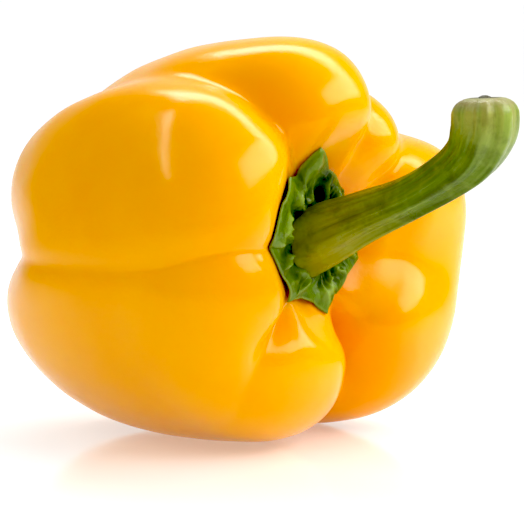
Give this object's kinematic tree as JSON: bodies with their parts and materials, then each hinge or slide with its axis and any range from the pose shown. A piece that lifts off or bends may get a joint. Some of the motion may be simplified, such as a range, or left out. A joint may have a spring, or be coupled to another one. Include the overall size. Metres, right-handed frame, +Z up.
{
  "type": "yellow bell pepper",
  "caption": "Blocky yellow bell pepper lying on its side, with rounded lobes, a deep stem cavity, a green calyx and a curved ridged stem.",
  "frame": {"origin": "middle of the underside of the whole pepper's box, on the surface that it rests on", "axes": "+Z up, +X along the pepper's own axis from the blossom end to the stem end, +Y to its left side"},
  "size_m": [0.1198, 0.0924, 0.0844],
  "materials": {
    "skin": "smooth waxy skin, glossy",
    "stem": "ridged green stem, satin"
  },
  "bodies": {
    "root": {"fruit": "skin", "stem_calyx": "stem"}
  },
  "joints": []
}
